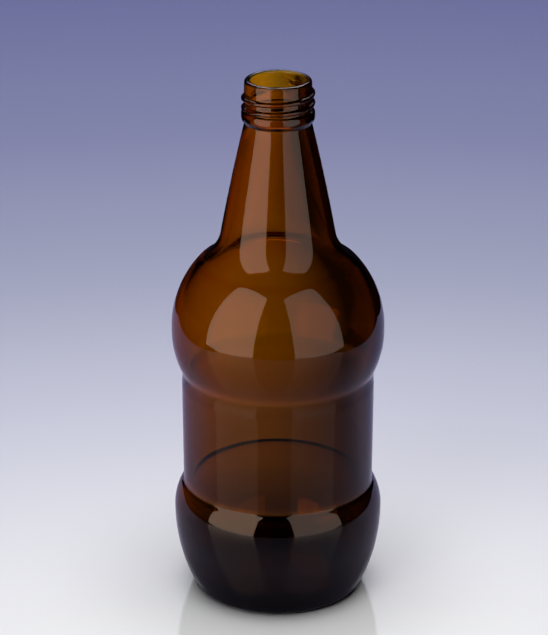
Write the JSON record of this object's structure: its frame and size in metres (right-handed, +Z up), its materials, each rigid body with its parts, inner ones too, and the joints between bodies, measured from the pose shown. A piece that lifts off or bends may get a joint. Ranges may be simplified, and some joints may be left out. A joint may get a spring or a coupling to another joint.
{
  "type": "screw-top beer bottle",
  "caption": "Empty amber glass bottle with a threaded mouth, tapering neck, rounded bulb, straight label panel and swelling base.",
  "frame": {"origin": "middle of the base, on the surface the bottle stands on", "axes": "+Z up along the bottle's axis, towards the mouth; +Y is the way the camera looks, so -Y is the front"},
  "size_m": [0.094, 0.094, 0.238],
  "materials": {
    "amber_glass": "gloss"
  },
  "bodies": {
    "root": {"bottle": "amber_glass"}
  },
  "joints": []
}
